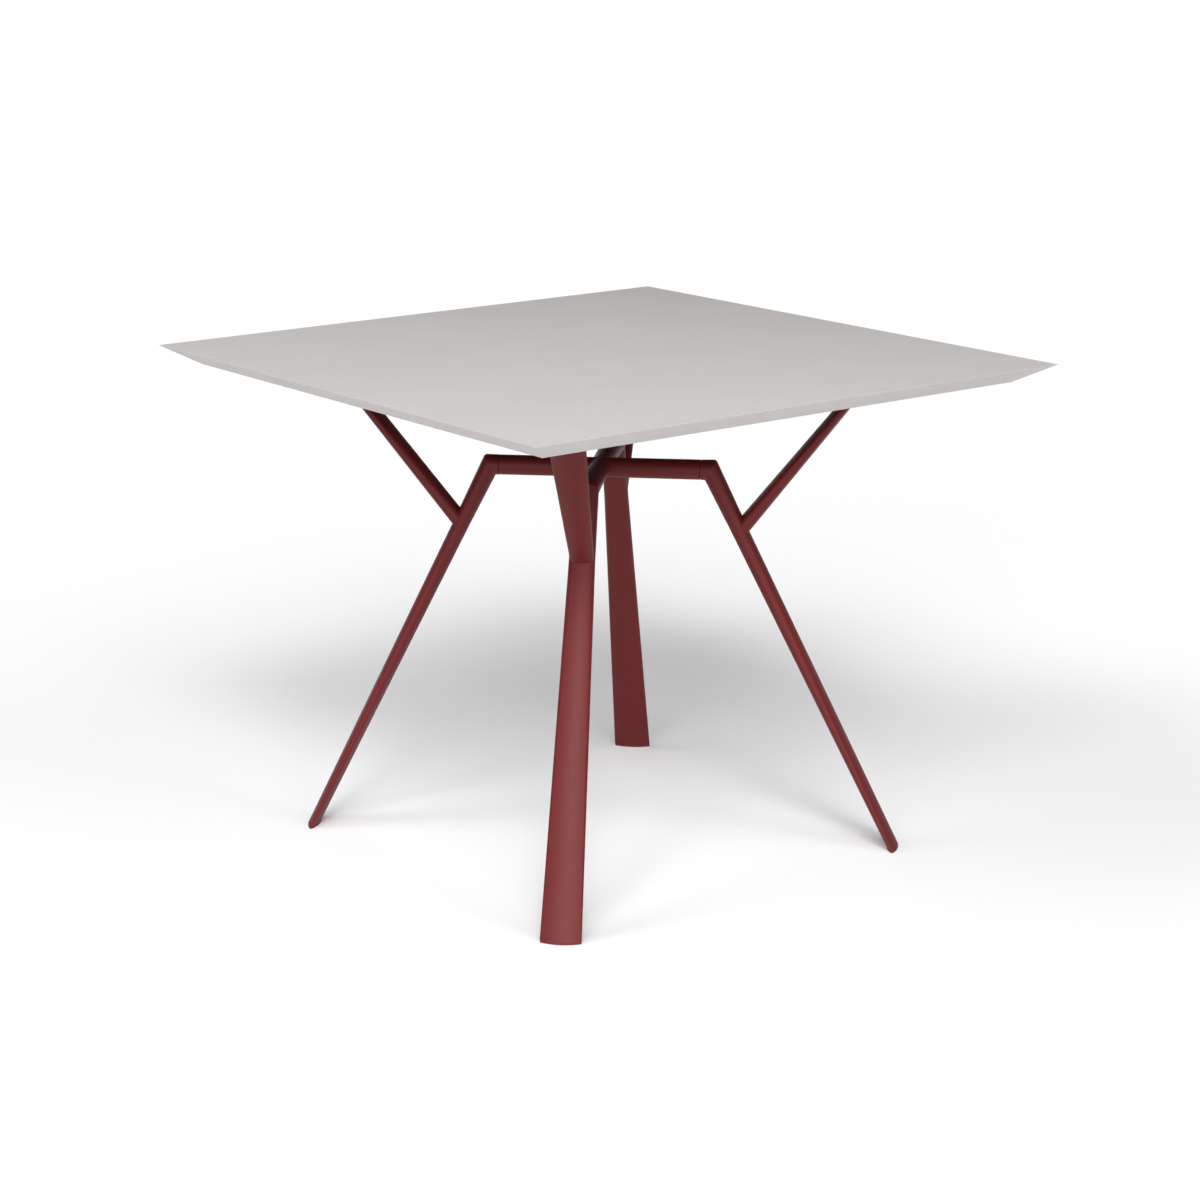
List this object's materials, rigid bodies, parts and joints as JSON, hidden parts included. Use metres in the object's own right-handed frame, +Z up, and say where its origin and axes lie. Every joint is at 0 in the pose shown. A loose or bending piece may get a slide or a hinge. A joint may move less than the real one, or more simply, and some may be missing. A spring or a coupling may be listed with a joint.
{
  "type": "square dining table",
  "caption": "Square dining table: thin sheet top with undercut bevelled edges on splayed twig-like cast legs that branch up to the top and meet in a low cross.",
  "frame": {"origin": "on the floor, under the middle of the top", "axes": "+Z up, X and Y along the sides of the top, the legs on the diagonals; the corner nearest the camera in the picture is -X -Y"},
  "size_m": [0.945, 0.945, 0.75],
  "materials": {
    "top_coat": "warm light grey fine-texture powder coat, matt",
    "frame_coat": "wine red satin powder coat on cast metal",
    "glide_plastic": "wine red matt moulded plastic",
    "fastener_steel": "zinc-plated steel"
  },
  "bodies": {
    "root": {"top_sheet": "top_coat", "rail_long": "top_coat", "rail_short_back_left": "top_coat", "rail_short_front_right": "top_coat", "fixing_plate_back_right": "top_coat", "fixing_plate_back_left": "top_coat", "fixing_plate_front_left": "top_coat", "fixing_plate_front_right": "top_coat", "hub_cross": "frame_coat", "leg_back_right": "frame_coat", "leg_back_left": "frame_coat", "leg_front_left": "frame_coat", "leg_front_right": "frame_coat", "foot_glide_back_right": "glide_plastic", "foot_glide_back_left": "glide_plastic", "foot_glide_front_left": "glide_plastic", "foot_glide_front_right": "glide_plastic", "top_screws": "fastener_steel"}
  },
  "joints": []
}
